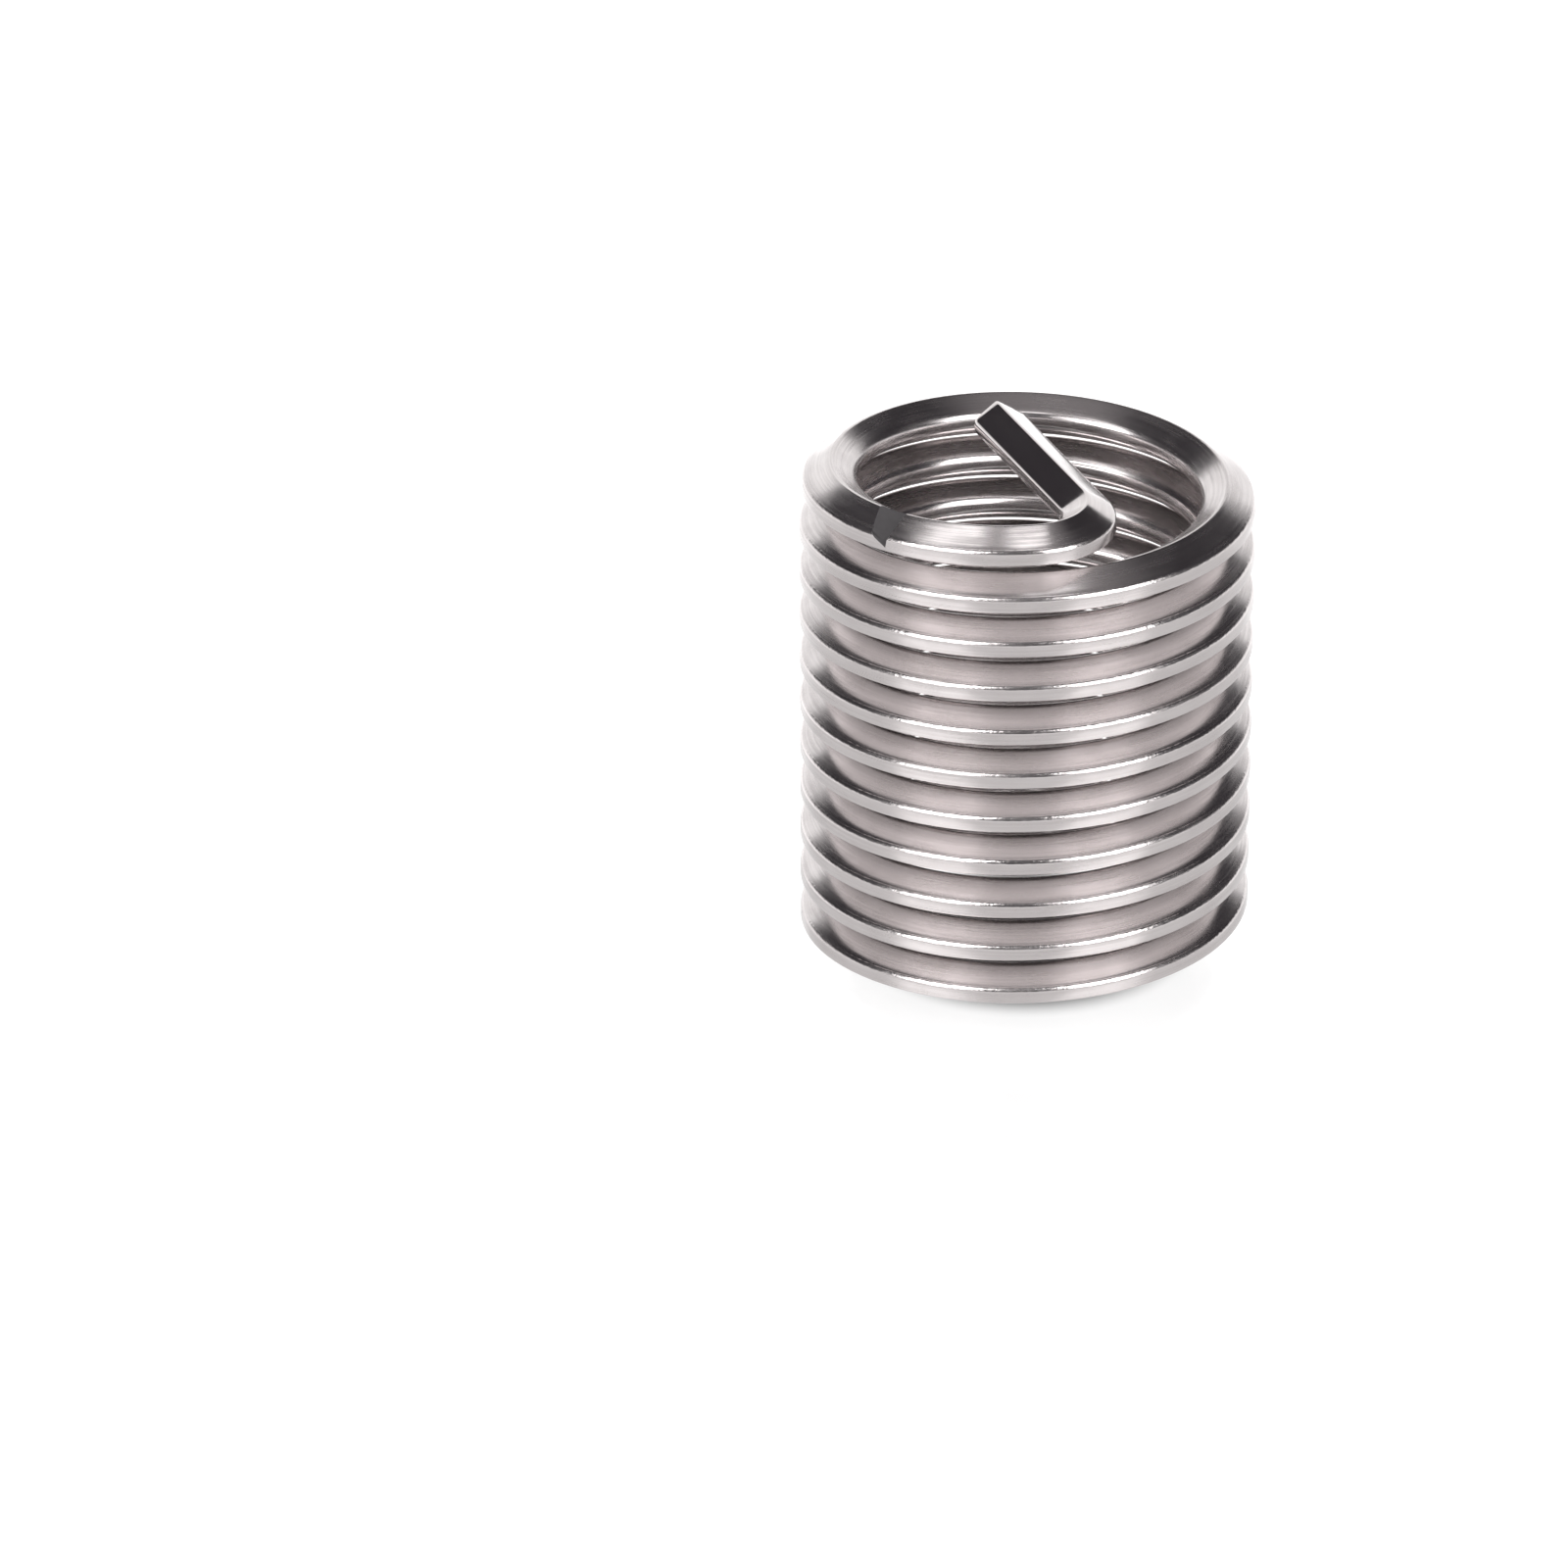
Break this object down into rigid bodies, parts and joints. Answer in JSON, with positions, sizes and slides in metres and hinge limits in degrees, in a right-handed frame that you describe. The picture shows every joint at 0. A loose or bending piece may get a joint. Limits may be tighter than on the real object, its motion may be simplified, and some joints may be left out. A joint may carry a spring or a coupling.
{
  "type": "helical thread insert",
  "caption": "Right-hand coil of diamond-section wire that lines a tapped hole with a new screw thread, with a driving tang across one end and a break-off notch.",
  "frame": {"origin": "on the coil's axis, level with the lowest ridge at the plain end", "axes": "+Z along the coil's axis towards the tang end, +Y roughly the way the tang points across the bore, -Y the side where the wire turns in to the tang"},
  "size_m": [0.012, 0.012, 0.0147],
  "materials": {
    "stainless_wire": "bright rolled stainless steel wire"
  },
  "bodies": {
    "root": {"coiled_wire": "stainless_wire"}
  },
  "joints": []
}
